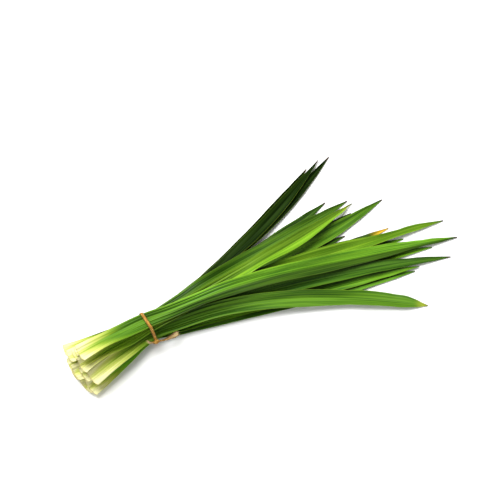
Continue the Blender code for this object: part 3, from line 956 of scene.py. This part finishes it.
# where each point lies across the strip's fibres and along them, round the band or along a tail, in mm
TAIL_SLANT = 0.4
lean = TIE_LEAN * (middle_y - points[:, 1]) / (0.5 * (TIE_FAR - TIE_NEAR))
across = points[:, 0] - TIE_X0 - lean
around = np.arctan2(points[:, 1] - middle_y, points[:, 2] - middle_z) * (TIE_FAR - TIE_NEAR) / 2
on_tail = (np.abs(across) > TIE_HALF_WIDTH) | (points[:, 1] < TIE_NEAR)
fibre_across = np.where(on_tail, points[:, 2] + TAIL_SLANT * points[:, 1], across) / MM
fibre_along = np.where(on_tail, points[:, 0], around) / MM

# the tails are paler toward their ends, from a distance in mm from the knot
RIGHT_PALE = (9, 15)
LEFT_PALE = (5, 6)
from_knot = np.linalg.norm(points - np.array(knot), axis=1) / MM
right_pale = (from_knot - RIGHT_PALE[0]) / RIGHT_PALE[1]
left_pale = (from_knot - LEFT_PALE[0]) / LEFT_PALE[1]
paleness = np.clip(np.where(points[:, 0] > knot.x, right_pale, left_pale), 0, 1) * on_tail

# ridges along the fibres as (spacing, height) in mm, which wander a little, with slow dents over them
FIBRE_RIDGES = ((1.15, 0.13), (0.62, 0.07))
RIDGE_WANDERS = 0.35
RIDGE_WANDER_LENGTH = 2.7
RIDGE_APART = 9
DENT_HEIGHT = 0.06
DENT_LENGTH = 1.9
DENT_ACROSS = 1.3
ridge = np.zeros_like(fibre_across)
for spacing, height in FIBRE_RIDGES:
    wander = RIDGE_WANDERS * np.sin(fibre_along / RIDGE_WANDER_LENGTH + spacing * RIDGE_APART)
    ridge += height * np.cos(2 * math.pi * fibre_across / spacing + wander)
ridge += DENT_HEIGHT * np.sin(fibre_along / DENT_LENGTH) * np.sin(fibre_across * DENT_ACROSS)
points = points + normals * ridge[:, None] * MM
points[:, 2] = np.maximum(points[:, 2], 0)

# the tails twist and widen from a little way out of the knot
TAIL_OUT = 6 * MM
TAIL_TWIST = math.radians(52)
TAIL_WIDER = 1.55


def turned_tail(points, strip_edge, side, knot_x):
    """Twists the loose tail on one side of the knot further and spreads it out toward its end."""
    out = (points[:, 0] - knot_x) * side - TAIL_OUT
    tail = (out > 0) & (points[:, 1] < TIE_NEAR)
    share = out[tail] / out[tail].max()
    share = share * share * (3 - 2 * share)
    x, y, z = points[tail].T
    y0 = np.polyval(np.polyfit(x, y, 2), x)
    z0 = np.polyval(np.polyfit(x, z, 2), x)
    turn, wider = TAIL_TWIST * share, 1 + (TAIL_WIDER - 1) * share
    strip_edge[tail] = np.abs(z - z0) / np.abs(z - z0).max()
    points[tail, 1] = y0 + ((y - y0) * np.cos(turn) + (z - z0) * np.sin(turn)) * wider
    points[tail, 2] = z0 + ((z - z0) * np.cos(turn) - (y - y0) * np.sin(turn)) * wider


# how near each point lies to the strip's edges, where shade is painted
strip_edge = np.where(on_tail, 0, np.abs(across) / TIE_HALF_WIDTH)
turned_tail(points, strip_edge, 1, knot.x)
turned_tail(points, strip_edge, -1, knot.x)
tie.data.vertices.foreach_set("co", points.ravel())
carry(tie.data, "strip_edge", strip_edge[:, None] * np.ones(3))
carry(tie.data, "fibre_place", np.stack([fibre_across, fibre_along, paleness], axis=1))

# single fibres that stand out of a cut end, rooted a little inside it
RIGHT_FRAYS = 11
LEFT_FRAYS = 5
RIGHT_FRAY_DRAW = 5
LEFT_FRAY_DRAW = 6
FRAY_LENGTH = 3.4 * MM
FRAY_SHORTER = (0.45, 1)
FRAY_RADIUS = 0.17 * MM
FRAY_TAPER = 0.35
FRAY_ROOT = 0.6 * MM
FRAY_STRAYS = 0.25
FRAY_FANS = 0.35
FRAY_BENDS = 0.15
END_NEAR = 4 * MM
END_DEEP = 0.8 * MM
END_USED = 0.9


def frayed_end(points, side, count, seed):
    """Single fibres that stand out of the cut end of a tail, as thin tapering threads."""
    draw = random.Random(seed)
    last = points[points[:, 0].argmax()] if side > 0 else points[points[:, 0].argmin()]
    end = points[np.linalg.norm(points - last, axis=1) < END_NEAR]
    end = end[np.abs(end[:, 0] - last[0]) < END_DEEP]
    middle = end.mean(0)
    spread = np.linalg.svd(end - middle)[2][0]
    reach = ((end - middle) @ spread).max()
    threads = []
    for _ in range(count):
        share = draw.uniform(-1, 1)
        start = Vector(middle + spread * reach * END_USED * share) - Vector((side * FRAY_ROOT, 0, 0))
        strays = draw.uniform(-FRAY_STRAYS, FRAY_STRAYS), draw.uniform(-FRAY_STRAYS, FRAY_STRAYS)
        course = Vector((side, *strays)) + Vector(spread) * share * FRAY_FANS
        length = FRAY_LENGTH * draw.uniform(*FRAY_SHORTER)
        bend = Vector((0, draw.uniform(-1, 1), draw.uniform(-1, 1))) * length * FRAY_BENDS
        third = course * length / 3
        bpy.ops.object.select_all(action="DESELECT")
        bpy.ops.curve.primitive_bezier_curve_add()
        thread = bpy.context.active_object
        near, far = thread.data.splines[0].bezier_points
        near.co, far.co = start, start + course * length
        near.handle_left, near.handle_right = start - third, start + third + bend
        far.handle_left, far.handle_right = far.co - third + bend, far.co + third
        near.radius, far.radius = 1, FRAY_TAPER
        thread.data.bevel_depth = FRAY_RADIUS
        thread.data.bevel_resolution = 1
        thread.data.resolution_u = 6
        thread.data.use_fill_caps = True
        bpy.ops.object.convert(target="MESH")
        bpy.ops.object.mode_set(mode="EDIT")
        bpy.ops.mesh.select_all(action="SELECT")
        bpy.ops.mesh.remove_doubles(threshold=SAME_POINT)
        bpy.ops.object.mode_set(mode="OBJECT")
        threads.append(thread)
    return threads


threads = frayed_end(points, 1, RIGHT_FRAYS, RIGHT_FRAY_DRAW)
threads += frayed_end(points, -1, LEFT_FRAYS, LEFT_FRAY_DRAW)

# straw from dark to pale in long fibres, with shade painted dark brown along the strip's edges, and bleached
# at its frayed ends
FIBRES = (2.6, 0.22, 0)
FIBRE_DETAIL = 4
STRAW = (
    (0.32, (0.060, 0.020, 0.003)),
    (0.45, (0.26, 0.105, 0.008)),
    (0.55, (0.52, 0.25, 0.020)),
    (0.68, (0.90, 0.62, 0.14)),
)
BLEACHED = (0.62, 0.50, 0.26)
BLEACHED_MOST = 0.7
EDGE_PAINTED_SHADE = (0.085, 0.030, 0.006)
EDGE_SHADE_SPAN = (0.30, 0.80, 0.0, 0.88)
STRAW_ROUGHNESS = 0.55
STRAW_SPECULAR = 0.3
FIBRE_RELIEF = 0.9
FIBRE_DEPTH = 0.35 * MM

dry_strip, tree, shader = new_material("dry_strip")
fibre_place, (_, _, bleaching) = carried(tree, "fibre_place")
_, (edge_share, _, _) = carried(tree, "strip_edge")
fibre = drawn_out_noise(tree, fibre_place, FIBRES, (0, 0, 0), FIBRE_DETAIL)
straw = mixed(tree, calc(tree, "MULTIPLY", bleaching, BLEACHED_MOST), ramp(tree, fibre, STRAW), BLEACHED)
# painted shade: dark brown along the strip's edges
straw = mixed(tree, eased(tree, edge_share, *EDGE_SHADE_SPAN), straw, EDGE_PAINTED_SHADE)
tree.links.new(straw, shader.inputs["Base Color"])
shader.inputs["Roughness"].default_value = STRAW_ROUGHNESS
shader.inputs["Specular IOR Level"].default_value = STRAW_SPECULAR
bumped(tree, shader, fibre, strength=FIBRE_RELIEF, distance=FIBRE_DEPTH)
tie.data.materials.clear()
tie.data.materials.append(dry_strip)

for thread in threads:
    spots = np.empty(len(thread.data.vertices) * 3)
    thread.data.vertices.foreach_get("co", spots)
    spots = spots.reshape(-1, 3)
    bleached = np.ones(len(spots))
    carry(thread.data, "fibre_place", np.stack([spots[:, 1] / MM, spots[:, 0] / MM, bleached], axis=1))
    carry(thread.data, "strip_edge", np.zeros_like(spots))
    thread.data.materials.clear()
    thread.data.materials.append(dry_strip)
bpy.ops.object.select_all(action="DESELECT")
for thread in threads:
    thread.select_set(True)
tie.select_set(True)
bpy.context.view_layer.objects.active = tie
bpy.ops.object.join()
bpy.ops.object.shade_smooth()
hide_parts("strip")
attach(tie, "root")


low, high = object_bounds()
